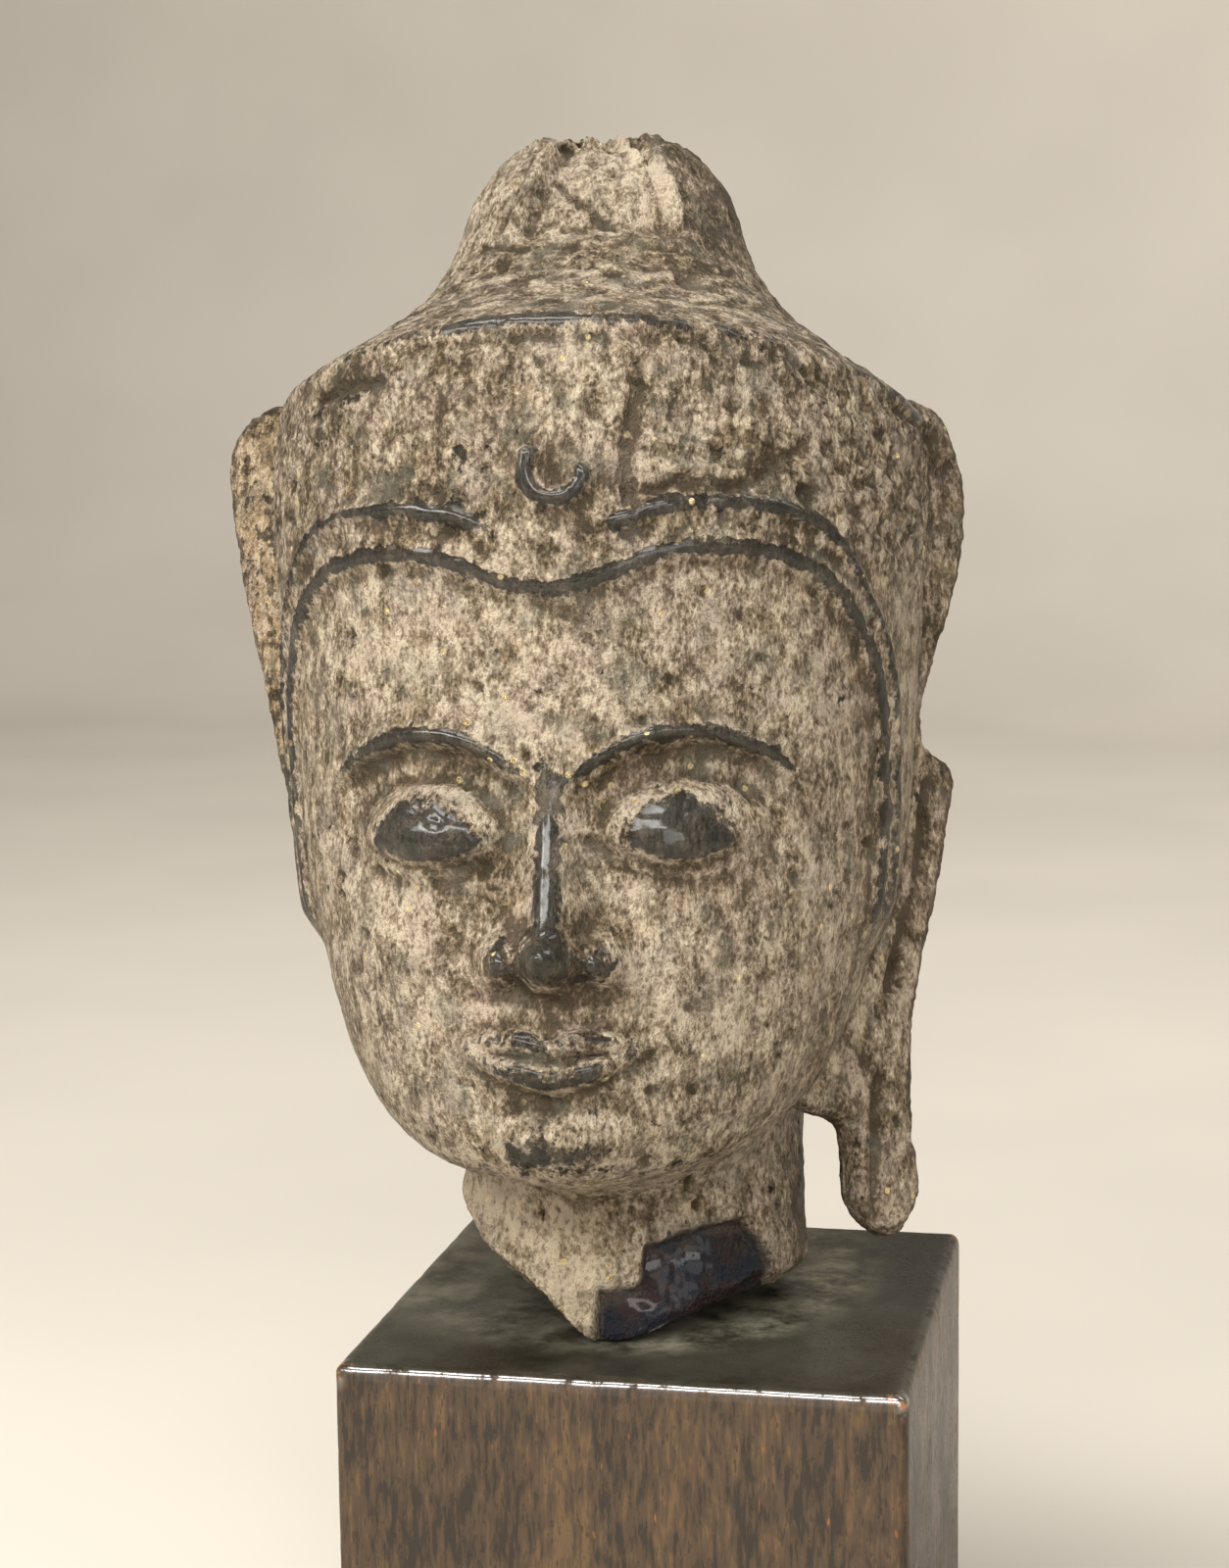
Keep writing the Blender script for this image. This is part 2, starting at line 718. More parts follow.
CRESCENT_AT = (0.8, 67.5)
CRESCENT_ROUND = 2.3
SMALL_LOOP = [(-8.3, 76.6), (-8.8, 74.8), (-6.4, 73.5), (-3.6, 74.4), (-3.6, 76.6)]
SLANTED_GROOVE = [(-42, 74.8), (-34, 75.4), (-27.5, 75.4)]
CROWN_CRACK = [(41.5, 70.2), (36, 68.4), (32, 66.6), (28, 66.1), (20, 66.6), (15, 65.6)]
CROWN_STEP = [(14, 73.0), (13.4, 70.0), (12.2, 67.4), (13.6, 64.6)]
KNOT_CRACK = [(-18, 95.1), (-8, 93.6), (0, 92.8), (8, 91.2), (14, 90.2)]
KNOT_CREST = [(26, 99.0), (31, 97.6), (36, 95.4), (39, 92.2)]
KNOT_STREAK = [(-29, 97.0), (-31, 93.0), (-33, 90.4)]
KNOT_FOOT = [(-40, 89.2), (-20, 88.8), (0, 88.5), (20, 88.6), (34, 88.0)]
LOBE_SLOT = [(27.4, 44.0), (26.0, 36.0), (24.9, 30.0), (24.6, 26.6)]
LOBE_SEAM = [(23.7, 19.0), (23.3, 12.0), (23.3, 7.4)]
CROWN_PIT = [(41.0, 65.9), (41.6, 65.9)]
KNOT_PIT = [(31, 84.9), (32, 84.8)]

# Pits of the left ear, as place across, height and size
LOBE_PITS = [
    (26.5, 49.4, 0.9), (21.6, 22.4, 0.5), (24.6, 28.2, 0.6), (22.6, 20.6, 0.4), (27.6, 52.0, 0.5),
]

# Green tufts on the crown, as turn, height, width, length and strength
GREEN_TUFTS = [(-12, 68.4, 5, 2, 1), (-14, 64.4, 8, 1.4, 1), (-38, 72, 4, 3, 0.5)]


class Surface:
    """What stands where on the head, worked out once for every point of its mesh."""

    def __init__(self, points, normals):
        x, y, z = points.T
        aside = KNOT_ASIDE * ease((z - 84) / 14)
        self.points = points
        self.x = x
        self.z = z
        self.turn = np.degrees(np.arctan2(x - aside, -y))
        self.out = np.hypot(x - aside, y)
        self.gap, self.low_ridge, self.high_ridge = hair_ridges(np.abs(self.turn), z)
        side = PROFILE[CAP_LEVEL:RIM_LEVEL, 1][::-1]
        beside = np.abs(x) - np.interp(z, side[:, 1], side[:, 0])
        self.ear = ease((beside - 1.3) / 1.0) * ease((y + 12) / 4) * ease((z - 4) / 2)
        self.ear_front = self.ear * ease((-normals[:, 1] - 0.25) / 0.3)
        self.low_ridge = self.low_ridge * (1 - self.ear)
        self.high_ridge = self.high_ridge * (1 - self.ear)
        self.front = ease((-y - 2) / 6) * (1 - self.ear)
        self.on_face = self.front * ease((60 - z) / 2) * ease((z - 11) / 2) * ease(-self.gap / 1.0)
        rim = np.interp(np.cos(np.radians(self.turn)) ** 2, [0, 1], [75.3, 79.6])
        rim_out = np.interp(np.abs(self.turn), [0, 90, 180], [28.4, 27.0, 28.6])
        self.rim = ridge(self.out - rim_out, 1.1) * ridge(z - rim + 0.3, 0.6)
        self.under_rim = ridge(z - rim + 1.7, 0.55) * ridge(self.out - rim_out, 1.6) * (1 - self.ear)
        self.crown = ease((z - 58) / 4) * ease((rim - z) / 1.0) * ease(self.gap / 1.0) * (1 - self.ear)
        self.slope = ease((z - rim) / 0.8) * ease((89 - z) / 1.5)
        self.knot = ease((z - 87.5) / 1.5)
        self.neck = ease((12.5 - z) / 2.5) * (1 - self.ear)
        self.broken = knot_break(self.turn, z)[0] * ease((self.out - 2) / 2)
        neck_turn = np.degrees(np.arctan2(x - NECK_ASIDE, -y))
        self.dark_break = neck_flake(neck_turn, z) * ease((9.5 - z) / 1)
        from_x, from_z = x - CRESCENT_AT[0], z - CRESCENT_AT[1]
        ring = ridge(np.hypot(from_x, from_z) - CRESCENT_ROUND, 0.72)
        self.crescent = ring * ease((1.5 - 0.93 * from_z - 0.37 * from_x) / 0.9) * self.front
        self.loop = ridge(round_head(self.turn, z, dense(SMALL_LOOP)), 0.5) * self.front
        self.right = ease((self.turn + 4) / 40)
        self.lit = ridge(self.turn - 8, 26)
        self.behind = ease((np.abs(self.turn) - 70) / 30)

    def cracks(self):
        """Grooves and steps cut by hand or by damage, as depths."""
        turn, z = self.turn, self.z
        wobble = rough(self.points, 2.2, 3, 11.0)
        groove = 0.9 * ridge(round_head(turn, z, SLANTED_GROOVE) + 0.2 * wobble, 0.55)
        crown = 0.7 * ridge(round_head(turn, z, CROWN_CRACK) + 0.35 * wobble, 0.36)
        step = 0.5 * ridge(round_head(turn, z, CROWN_STEP) + 0.4 * wobble, 0.6)
        knot = 0.45 * ridge(round_head(turn, z, KNOT_CRACK) * 0.5 + 0.3 * wobble, 0.22)
        streak = 0.3 * ridge(round_head(turn, z, KNOT_STREAK) * 0.5 + 0.2 * wobble, 0.3)
        foot = 0.35 * ridge(round_head(turn, z, KNOT_FOOT) + 0.3 * wobble, 0.4)
        pit = 1.4 * ridge(round_head(turn, z, CROWN_PIT), 0.5)
        knot_pit = 1.2 * ridge(round_head(turn, z, KNOT_PIT), 0.7)
        slot = 1.3 * ridge(along(self.x, z, LOBE_SLOT) + 0.25 * wobble, 0.62)
        slot = slot + 0.8 * ridge(along(self.x, z, LOBE_SEAM) + 0.15 * wobble, 0.42)
        for x, height, wide in LOBE_PITS:
            slot = np.maximum(slot, 1.7 * wide * mound(self.x, z, x, height, wide, 1.4 * wide))
        on_front = (groove + crown + step) * self.front
        return on_front + knot + streak + foot + pit + knot_pit + slot * self.ear_front


def surface_relief(surface, depth, pit_depth):
    """How far every point of the head stands out because of crust and corrosion."""
    points = surface.points
    swell = rough(points, 7.0, 2, 3.0)
    lumps = rough(points, 1.9, 3, 7.0)
    grains = rough(points, 0.75, 2, 17.0)
    tall = points * np.array([1, 1, 0.62])
    scale_near, scale_next = cells(tall, 1.0, 13.0)
    facet = rough(points * np.array([1, 1, 0.6]), 0.9, 1, 19.0)
    scales = 0.3 * facet + 0.35 - 0.5 * scale_near - 0.8 * ridge(scale_next - scale_near, 0.13)
    layers = rough(points * np.array([0.6, 0.6, 1.7]) + 0.6 * lumps[:, None], 2.4, 3, 23.0) * 2.2
    flakes = np.floor(layers) + ease((layers - np.floor(layers)) / 0.35)
    pits, _ = cells(points, 2.3, 5.0)
    small_pits, _ = cells(points, 1.25, 9.0)
    crest = np.maximum(surface.low_ridge, 0.7 * surface.high_ridge)
    smooth = (1 - 0.9 * crest) * (1 - 0.7 * surface.crescent) * (1 - 0.8 * surface.dark_break)
    back = 0.6 * ease((surface.z - 15) / 60) * (1 - surface.slope)
    crown = mix(surface.crown, back, surface.behind) * (1 - surface.knot)
    granular = crown * (1 - surface.ear) * (0.45 + 0.65 * surface.right)
    granular = granular + 0.12 * surface.knot + 0.35 * surface.neck
    granular = granular + 0.22 * surface.ear + surface.on_face * (0.1 + 0.25 * surface.right)
    flaky = surface.slope + 0.3 * surface.knot
    coarse = np.clip(0.35 + 0.8 * granular - 0.2 * surface.on_face, 0.15, 1.2) * smooth
    stand = depth * coarse * (0.8 * lumps + 0.5 * grains) + 0.5 * depth * swell
    stand = stand + depth * 1.1 * granular * scales * smooth + 0.16 * flaky * (flakes - 0.5 * layers)
    pocked = clamp01(0.2 + 0.3 * granular - 0.5 * surface.neck)
    hole = ease((0.3 - pits) / 0.16) * (rough(points, 4.0, 2, 31.0) > 0.2 - 0.5 * pocked)
    small_hole = ease((0.3 - small_pits) / 0.15) * (rough(points, 3.0, 2, 37.0) > 0.3 - 0.6 * pocked)
    stand = stand - pit_depth * (hole + 0.55 * small_hole) * (1 - 0.8 * crest) * (1 - surface.dark_break)
    stand = stand + 0.8 * surface.crescent + 0.28 * surface.loop - surface.cracks()
    stand = stand + 0.35 * surface.rim - 0.4 * surface.under_rim
    ragged = rough(points, 1.6, 3, 41.0)
    crest_line = round_head(surface.turn, surface.z, KNOT_CREST)
    knot_crest = ridge(crest_line * 0.5 + 0.3 * ragged, 0.6) * surface.knot
    stand = stand + surface.broken * 0.4 * ragged + 0.7 * knot_crest
    stand = stand + surface.dark_break * 0.4 * rough(points * np.array([0.7, 1, 1.8]), 3.4, 3, 43.0)
    stand = stand + 0.55 * ragged * ease((surface.z - 97.4) / 1.2)
    return stand, granular, flaky, knot_crest


def neighbour_convexity(mesh, points, normals):
    """How sharply each point stands above its neighbours, smoothed a little."""
    edges = np.empty(len(mesh.edges) * 2, dtype=np.int64)
    mesh.edges.foreach_get("vertices", edges)
    a, b = edges.reshape(-1, 2).T
    count = np.bincount(np.concatenate([a, b]), minlength=len(points))
    count = np.maximum(count, 1)

    def average(values):
        total = np.bincount(a, values[b], len(points)) + np.bincount(b, values[a], len(points))
        return total / count

    middle = np.stack([average(points[:, k]) for k in range(3)], axis=1)
    for _ in range(5):
        middle = np.stack([average(middle[:, k]) for k in range(3)], axis=1)
    bulge = np.einsum("ij,ij->i", points - middle, normals)
    for _ in range(2):
        bulge = 0.5 * bulge + 0.5 * average(bulge)
    return bulge


def paint(mesh, name, values):
    """Stores one number for every point of a mesh under a name that materials read."""
    layer = mesh.attributes.new(name, "FLOAT", "POINT")
    layer.data.foreach_set("value", np.clip(values, 0, 1).astype(np.float32))


def rubbed_places(surface, bulge):
    """Where hands have rubbed the head to dark, glossy bronze, from 0 to 1."""
    x, z = np.abs(surface.x), surface.z
    brow = 0.9 * ridge(brow_line(x) - z + 0.1, 0.62) * np.exp(-(((x - EYE_WIDE) / (0.8 * EYE_WIDE)) ** 4))
    lids = 0.9 * ease((0.8 - lid(x, z)) / 0.4) * (z > lid_line(x))
    bridge = 0.8 * ridge(x, 1.2) * ease((BROW_Z + 2 - z) / 2) * ease((z - NOSE_Z) / 1)
    tip = 0.7 * mound(x, z, 0, NOSE_Z + 2.3, 2.6, 2.2)
    wings = 0.55 * mound(x, z, 0.36 * EYE_WIDE, NOSE_Z + 1.9, 1.6, 1.6)
    chin = 0.6 * mound(x, z, 0, CHIN_Z + 2.6, 5.0, 1.8)
    mouth = 0.35 * lips(x, z) / 1.6
    on_face = surface.on_face * (brow + lids + bridge + tip + wings + chin + mouth)
    left_part = ridge(surface.turn + 21, 8)
    right_part = ease((surface.turn - 8) / 4) * ease((50 - surface.turn) / 8)
    high = surface.high_ridge**1.2 * (0.5 + 0.5 * clamp01(left_part + right_part))
    ridges = 1.0 * surface.low_ridge**1.3 + high
    edges = 0.85 * surface.rim + 0.85 * surface.crescent
    return clamp01(clamp01(on_face) + ridges + edges + 0.3 * ease(bulge / 0.2) * (1 - surface.knot))


def paint_head(mesh, surface, bulge, granular, flaky, knot_crest):
    """Stores what the bronze material needs to know of every point of the head."""
    folds = 0.35 * surface.under_rim + 0.7 * surface.ear * (1 - surface.ear_front)
    crest = clamp01(1.3 * knot_crest)
    left_neck = surface.neck * ease((20 - surface.turn) / 20)
    right_ear = surface.ear * (surface.x < 0)
    left_ear = surface.ear * (surface.x > 0)
    lobes = surface.knot * (1 - surface.broken)
    back = ease((surface.z - 20) / 60)
    dusk = mix(surface.crown * (1 - surface.lit) * (1 - surface.right), back, surface.behind)
    shade = 0.3 * dusk + 0.7 * lobes * surface.right + 0.35 * surface.slope + 0.15 * left_ear
    tufts = sum(tuft[4] * mound(surface.turn, surface.z, *tuft[:4]) for tuft in GREEN_TUFTS)
    paint(mesh, "rubbed", rubbed_places(surface, bulge))
    paint(mesh, "hollow", 0.8 * ease(-bulge / 0.2) + clamp01(surface.cracks()) + folds)
    paint(mesh, "pale", 0.3 * surface.broken + crest + 0.65 * left_neck + 0.2 * right_ear)
    paint(mesh, "fracture", surface.dark_break)
    paint(mesh, "granular", granular)
    paint(mesh, "flaky", flaky)
    paint(mesh, "browned", clamp01(shade) * (1 - crest))
    paint(mesh, "greened", tufts * surface.front)
    paint(mesh, "earthy", 0.7 * right_ear + 0.3 * left_neck)


def stand_matrix(head):
    """Stands the head's shape on the block, in metres."""
    return (
        Matrix.Translation((head.aside, head.behind, BLOCK_HEIGHT))
        @ Matrix.Rotation(head.lean, 4, "Y")
        @ Matrix.Rotation(head.turn, 4, "Z")
        @ Matrix.Rotation(-head.tilt, 4, "X")
        @ Matrix.Scale(head.height / 100, 4)
    )


# Materials


class Nodes:
    """Short words for building a tree of nodes."""

    def __init__(self, tree):
        self.tree = tree

    def add(self, kind, values=None, **options):
        """A node of a kind, its options set, and its sockets given numbers or linked."""
        node = self.tree.nodes.new(kind)
        for name, value in options.items():
            setattr(node, name, value)
        for key, value in (values or {}).items():
            socket = node.inputs[key]
            if isinstance(value, bpy.types.NodeSocket):
                self.tree.links.new(value, socket)
            else:
                socket.default_value = value
        return node

    def math(self, operation, a, b=0.0, clamp=False):
        return self.add("ShaderNodeMath", {0: a, 1: b}, operation=operation, use_clamp=clamp).outputs[0]

    def scaled(self, value, by, plus):
        """A value times a number, plus a number."""
        node = self.add("ShaderNodeMath", {0: value, 1: by, 2: plus}, operation="MULTIPLY_ADD")
        return node.outputs[0]

    def fade(self, value, low, high):
        """Turns a value into 0 at low and 1 at high, smoothly."""
        node = self.add(
            "ShaderNodeMapRange",
            {"Value": value, "From Min": low, "From Max": high},
            interpolation_type="SMOOTHSTEP",
        )
        return node.outputs[0]

    def blend(self, share, a, b):
        """One colour into another by a share."""
        node = self.tree.nodes.new("ShaderNodeMix")
        node.data_type = "RGBA"
        for socket, value in ((node.inputs[0], share), (node.inputs[6], a), (node.inputs[7], b)):
            if isinstance(value, bpy.types.NodeSocket):
                self.tree.links.new(value, socket)
            else:
                socket.default_value = value
        return node.outputs[2]

    def noise(self, where, size, detail=3.0, roughness=0.55, distortion=0.0):
        """Soft noise with lumps of a size in metres."""
        node = self.add(
            "ShaderNodeTexNoise",
            {
                "Vector": where,
                "Scale": 1 / size,
                "Detail": detail,
                "Roughness": roughness,
                "Distortion": distortion,
            },
        )
        return node.outputs[0]

    def attribute(self, name):
        """A number that was painted on the mesh under a name."""
        return self.add("ShaderNodeAttribute", attribute_name=name).outputs["Fac"]

    def group(self, tree, values):
        """The outputs of a node group that is given its own values."""
        node = self.tree.nodes.new("ShaderNodeGroup")
        node.node_tree = tree
        for name, value in values.items():
            if isinstance(value, bpy.types.NodeSocket):
                self.tree.links.new(value, node.inputs[name])
            else:
                node.inputs[name].default_value = value
        return node.outputs


def new_group(name, inputs, outputs):
    """An empty node group with named sockets, and its input and output nodes."""
    tree = bpy.data.node_groups.new(name, "ShaderNodeTree")
    for label, kind, default in inputs:
        socket = tree.interface.new_socket(label, in_out="INPUT", socket_type=kind)
        if default is not None:
            socket.default_value = default
    for label, kind in outputs:
        tree.interface.new_socket(label, in_out="OUTPUT", socket_type=kind)
    nodes = Nodes(tree)
    entry = tree.nodes.new("NodeGroupInput")
    leave = tree.nodes.new("NodeGroupOutput")
    return nodes, entry.outputs, leave.inputs


def patches_group():
    """Ragged patches of a size, over a share of the surface, with fine broken edges."""
    nodes, given, out = new_group(
        "ragged_patches",
        [
            ("Vector", "NodeSocketVector", None),
            ("Size", "NodeSocketFloat", 2 * MM),
            ("Share", "NodeSocketFloat", 0.5),
            ("Softness", "NodeSocketFloat", 0.04),
        ],
        [("Mask", "NodeSocketFloat")],
    )
    scale = nodes.math("DIVIDE", 1.0, given["Size"])
    broad = nodes.add(
        "ShaderNodeTexNoise",
        {"Vector": given["Vector"], "Scale": scale, "Detail": 5.0, "Roughness": 0.62},
    ).outputs[0]
    threshold = nodes.scaled(given["Share"], -0.5, 0.75)
    low = nodes.math("SUBTRACT", threshold, given["Softness"])
    high = nodes.math("ADD", threshold, given["Softness"])
    mask = nodes.fade(broad, low, high)
    nodes.tree.links.new(mask, out["Mask"])
    return nodes.tree


def dust_group():
    """Pale dust: a mask that gathers where noise and a given mask agree."""
    nodes, given, out = new_group(
        "settled_dust",
        [
            ("Vector", "NodeSocketVector", None),
            ("Size", "NodeSocketFloat", 6 * MM),
            ("Amount", "NodeSocketFloat", 0.5),
            ("Where", "NodeSocketFloat", 1.0),
        ],
        [("Mask", "NodeSocketFloat")],
    )
    scale = nodes.math("DIVIDE", 1.0, given["Size"])
    cloud = nodes.add(
        "ShaderNodeTexNoise",
        {"Vector": given["Vector"], "Scale": scale, "Detail": 6.0, "Roughness": 0.7},
    ).outputs[0]
    drift = nodes.fade(cloud, 0.35, 0.7)
    amount = nodes.math("MULTIPLY", drift, given["Amount"])
    nodes.tree.links.new(nodes.math("MULTIPLY", amount, given["Where"], clamp=True), out["Mask"])
    return nodes.tree


def dots_group():
    """Small round dots at some of many scattered points, their radius given in sizes."""
    nodes, given, out = new_group(
        "scattered_dots",
        [
            ("Vector", "NodeSocketVector", None),
            ("Size", "NodeSocketFloat", 2 * MM),
            ("Rarity", "NodeSocketFloat", 0.8),
            ("Spread", "NodeSocketFloat", 0.03),
            ("Radius", "NodeSocketFloat", 0.1),
            ("Softness", "NodeSocketFloat", 0.05),
        ],
        [("Mask", "NodeSocketFloat")],
    )
    scale = nodes.math("DIVIDE", 1.0, given["Size"])
    points = nodes.add("ShaderNodeTexVoronoi", {"Vector": given["Vector"], "Scale": scale}, feature="F1")
    common = nodes.math("ADD", given["Rarity"], given["Spread"])
    chosen = nodes.fade(points.outputs["Color"], given["Rarity"], common)
    outside = nodes.math("ADD", given["Radius"], given["Softness"])
    near = nodes.fade(points.outputs["Distance"], outside, given["Radius"])
    nodes.tree.links.new(nodes.math("MULTIPLY", chosen, near), out["Mask"])
    return nodes.tree


def shared_group(name, build):
    """The node group of that name, built the first time it is asked for."""
    return bpy.data.node_groups.get(name) or build()


def new_material(name):
    """A material with its shader, its nodes and its place on the object."""
    material = bpy.data.materials.new(name)
    material.use_nodes = True
    nodes = Nodes(material.node_tree)
    shader = material.node_tree.nodes["Principled BSDF"]
    where = nodes.add("ShaderNodeTexCoord").outputs["Object"]
    return material, nodes, shader, where


def colour(value):
    """A colour with its alpha."""
    return (*value, 1.0)


def bronze_material():
    """Excavated bronze: an earthy crust that has flaked off dark, rubbed metal."""
    bronze = settings("bronze_settings")
    material, nodes, shader, where = new_material("excavated_bronze")
    patches = shared_group("ragged_patches", patches_group)
    dust = shared_group("settled_dust", dust_group)
    dots = shared_group("scattered_dots", dots_group)
    rubbed = nodes.attribute("rubbed")
    hollow = nodes.attribute("hollow")
    pale = nodes.attribute("pale")
    fracture = nodes.attribute("fracture")
    granular = nodes.attribute("granular")
    flaky = nodes.attribute("flaky")
    browned = nodes.attribute("browned")
    greened = nodes.attribute("greened")
    earthy = nodes.attribute("earthy")

    keep = nodes.math("SUBTRACT", 1.0, nodes.math("MULTIPLY", pale, 0.85))
    tall = nodes.add("ShaderNodeMapping", {"Vector": where, "Scale": (1.0, 1.0, 0.62)}).outputs[0]
    flat = nodes.add("ShaderNodeMapping", {"Vector": where, "Scale": (0.55, 0.55, 1.5)}).outputs[0]
    cloud = nodes.noise(where, 9 * MM, 4.0, 0.6)
    mottle = nodes.noise(tall, 1.6 * MM, 6.0, 0.72)
    grain = nodes.noise(tall, 0.38 * MM, 3.0, 0.7)
    layers = nodes.noise(flat, 2.2 * MM, 4.0, 0.6, 1.2)
    scales = nodes.add("ShaderNodeTexVoronoi", {"Vector": tall, "Scale": 1 / (0.85 * MM)}, feature="F1")
    scale_far = scales.outputs["Distance"]
    scale_tone = nodes.fade(scales.outputs["Color"], 0.1, 0.9)

    crackle = nodes.add(
        "ShaderNodeTexNoise",
        {"Vector": tall, "Scale": 1 / (1.3 * MM), "Detail": 4.0, "Roughness": 0.6},
        noise_type="RIDGED_MULTIFRACTAL",
    ).outputs[0]
    tone = nodes.math("ADD", nodes.math("MULTIPLY", mottle, 0.8), nodes.math("MULTIPLY", grain, 0.6))
    tone = nodes.math("ADD", tone, nodes.math("MULTIPLY", cloud, 0.25))
    tone = nodes.math("SUBTRACT", tone, nodes.math("MULTIPLY", browned, 0.15))
    tone = nodes.math("ADD", tone, nodes.math("MULTIPLY", pale, 0.12))
    crevice = nodes.math("MULTIPLY", nodes.fade(scale_far, 0.5, 0.8), granular)
    tone = nodes.math("SUBTRACT", tone, nodes.math("MULTIPLY", crevice, 0.12))
    tinted = nodes.math("MULTIPLY", nodes.math("SUBTRACT", scale_tone, 0.5), granular)
    tone = nodes.math("ADD", tone, nodes.math("MULTIPLY", tinted, 0.08))
    flake = nodes.math("MULTIPLY", nodes.math("SUBTRACT", layers, 0.5), flaky)
    tone = nodes.math("ADD", tone, nodes.math("MULTIPLY", flake, 0.6))
    tone = nodes.math("SUBTRACT", tone, nodes.math("MULTIPLY", hollow, 0.22))
    ramp = nodes.add("ShaderNodeValToRGB", {"Fac": tone})
    stops = [
        (0.66, bronze.crust_dark),
        (0.735, bronze.crust_brown),
        (0.787, bronze.crust_mid),
        (0.845, bronze.crust_light),
        (0.92, bronze.crust_pale),
    ]
    elements = ramp.color_ramp.elements
    for spare in list(elements)[1:]:
        elements.remove(spare)
    elements[0].position, elements[0].color = stops[0][0], colour(stops[0][1])
    for place, tint in stops[1:]:
        elements.new(place).color = colour(tint)
    earth = ramp.outputs[0]
    rust = nodes.group(patches, {"Vector": where, "Size": 4 * MM, "Share": 0.3, "Softness": 0.08})["Mask"]
    rust = nodes.math("ADD", nodes.math("MULTIPLY", rust, 0.2), nodes.math("MULTIPLY", earthy, 0.5))
    rusty = nodes.blend(nodes.fade(tone, 0.55, 0.85), colour(bronze.crust_brown), colour(bronze.ochre))
    earth = nodes.blend(rust, earth, rusty)
    grey = nodes.group(patches, {"Vector": where, "Size": 3.5 * MM, "Share": 0.36, "Softness": 0.08})
    grey = nodes.math("MULTIPLY", nodes.math("MULTIPLY", grey["Mask"], keep), 0.4)
    earth = nodes.blend(grey, earth, colour(bronze.grey_crust))

    blush = nodes.fade(nodes.noise(where, 4.5 * MM, 3.0, 0.6), 0.46, 0.62)
    blush = nodes.math("MULTIPLY", blush, 0.35)
    reddish = nodes.blend(
        nodes.fade(tone, 0.7, 0.88), colour(bronze.blush_dark), colour(bronze.blush_light)
    )
    earth = nodes.blend(blush, earth, reddish)

    tarnish = nodes.noise(where, 3.5 * MM, 4.0, 0.6)
    green_share = nodes.math("ADD", nodes.fade(tarnish, 0.5, 0.72), greened, clamp=True)
    green_share = nodes.math("MULTIPLY", green_share, 0.75)
    metal = nodes.blend(green_share, colour(bronze.bare), colour(bronze.green))
    warm = nodes.math("MULTIPLY", nodes.fade(mottle, 0.52, 0.66), 0.16)
    metal = nodes.blend(warm, metal, colour(bronze.crust_brown))

    share = nodes.math("ADD", nodes.math("MULTIPLY", rubbed, 0.66), nodes.math("MULTIPLY", greened, 0.3))
    share = nodes.math("ADD", share, nodes.scaled(earthy, 0.34, 0.07))
    broad = nodes.group(patches, {"Vector": where, "Size": 2.4 * MM, "Share": share, "Softness": 0.03})
    fine = nodes.group(patches, {"Vector": tall, "Size": 0.9 * MM, "Share": share, "Softness": 0.05})
    broad = nodes.math("MULTIPLY", broad["Mask"], 0.92)
    fine = nodes.math("MULTIPLY", fine["Mask"], 0.8)
    bare = nodes.math("MULTIPLY", nodes.math("MAXIMUM", broad, fine), keep, clamp=True)

    glint = nodes.group(
        dots,
        {
            "Vector": where,
            "Size": 1.1 * MM,
            "Rarity": 0.79,
            "Spread": 0.04,
            "Radius": 0.2,
            "Softness": 0.12,
        },
    )["Mask"]
    glint = nodes.math("MULTIPLY", glint, nodes.fade(cloud, 0.45, 0.6), clamp=True)

    skin = nodes.blend(bare, earth, metal)
    skin = nodes.blend(glint, skin, colour(bronze.glint))
    purple = nodes.blend(
        nodes.fade(tarnish, 0.44, 0.6), colour(bronze.fracture), colour(bronze.fracture_blue)
    )
    skin = nodes.blend(fracture, skin, purple)
    haze = nodes.group(dust, {"Vector": where, "Size": 3 * MM, "Amount": 0.3, "Where": hollow})["Mask"]
    skin = nodes.blend(haze, skin, colour(bronze.crust_mid))
    nodes.tree.links.new(skin, shader.inputs["Base Color"])

    broken_shine = nodes.math("MULTIPLY", fracture, 0.3)
    polished = nodes.math("MAXIMUM", nodes.math("MULTIPLY", bare, rubbed), broken_shine)
    rough_metal = nodes.scaled(grain, 0.24, 0.14)
    waxed = nodes.fade(mottle, 0.4, 0.62)
    rough_crust = nodes.scaled(waxed, 0.3, 0.5)
    shiny = nodes.math("MAXIMUM", nodes.math("MULTIPLY", bare, 0.5), glint)
    gloss = nodes.math("MAXIMUM", polished, shiny, clamp=True)
    roughness = nodes.add("ShaderNodeMix", {0: gloss, 2: rough_crust, 3: rough_metal}).outputs[0]
    nodes.tree.links.new(roughness, shader.inputs["Roughness"])
    metallic = nodes.math("MAXIMUM", nodes.math("MULTIPLY", bare, 0.3), glint, clamp=True)
    nodes.tree.links.new(metallic, shader.inputs["Metallic"])
    shader.inputs["Specular IOR Level"].default_value = 0.28
    nodes.tree.links.new(nodes.math("MULTIPLY", polished, 0.65), shader.inputs["Coat Weight"])
    shader.inputs["Coat Roughness"].default_value = 0.13

